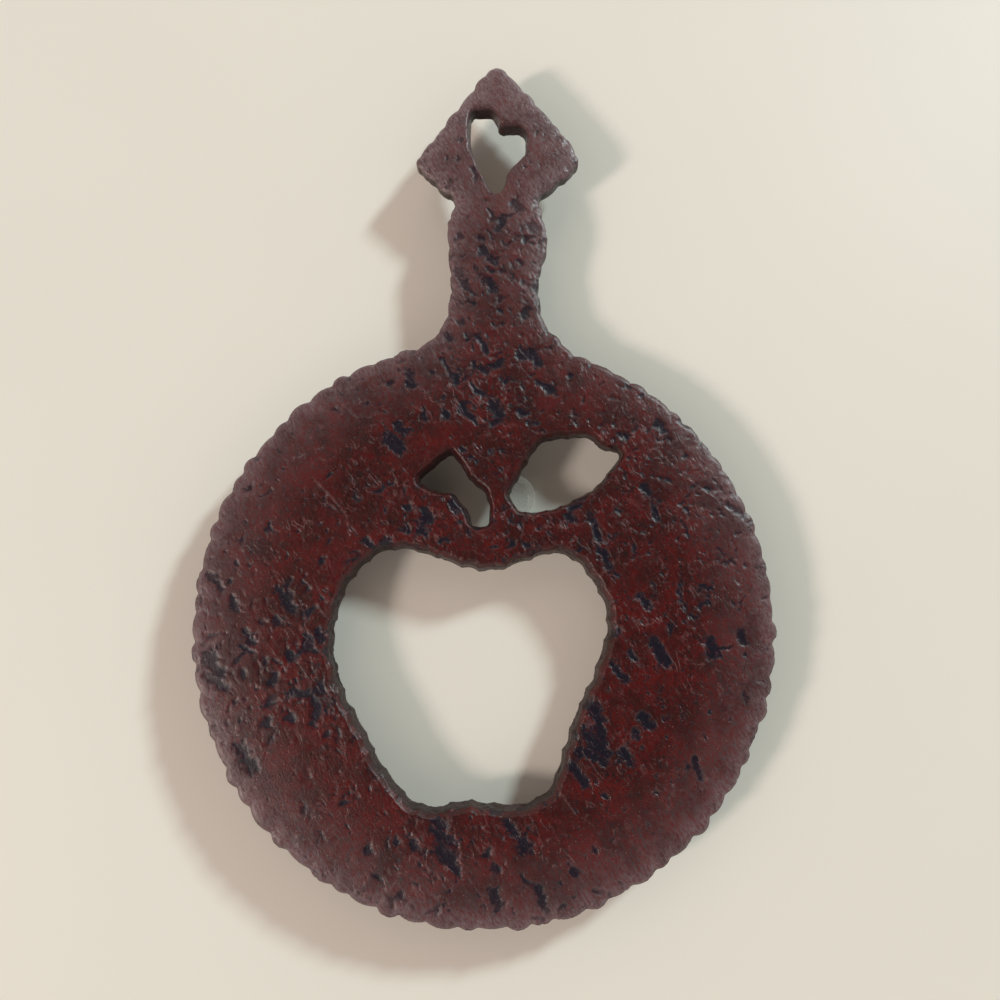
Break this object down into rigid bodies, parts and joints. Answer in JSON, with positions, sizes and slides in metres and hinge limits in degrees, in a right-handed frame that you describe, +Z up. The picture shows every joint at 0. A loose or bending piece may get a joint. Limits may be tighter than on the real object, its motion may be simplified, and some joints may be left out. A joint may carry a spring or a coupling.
{
  "type": "trivet",
  "caption": "Round painted cast trivet with an apple and leaves cut through it, a flat paddle handle with a heart-shaped hanging hole, and stick-on clear bumper feet.",
  "frame": {"origin": "centre of the bounding box's footprint, on the surface that the bumpers stand on", "axes": "+Z up out of the pot face, +Y along the handle towards its tip, +X to the right seen from above"},
  "size_m": [0.1628, 0.2488, 0.0125],
  "materials": {
    "painted_iron": "satin",
    "clear_bumper": "satin",
    "adhesive_film": "gloss"
  },
  "bodies": {
    "root": {"trivet_plate": "painted_iron", "bumper_top": "clear_bumper", "bumper_left": "clear_bumper", "bumper_right": "clear_bumper", "bumper_bottom": "clear_bumper", "adhesive_top": "adhesive_film", "adhesive_left": "adhesive_film", "adhesive_right": "adhesive_film", "adhesive_bottom": "adhesive_film"}
  },
  "joints": []
}
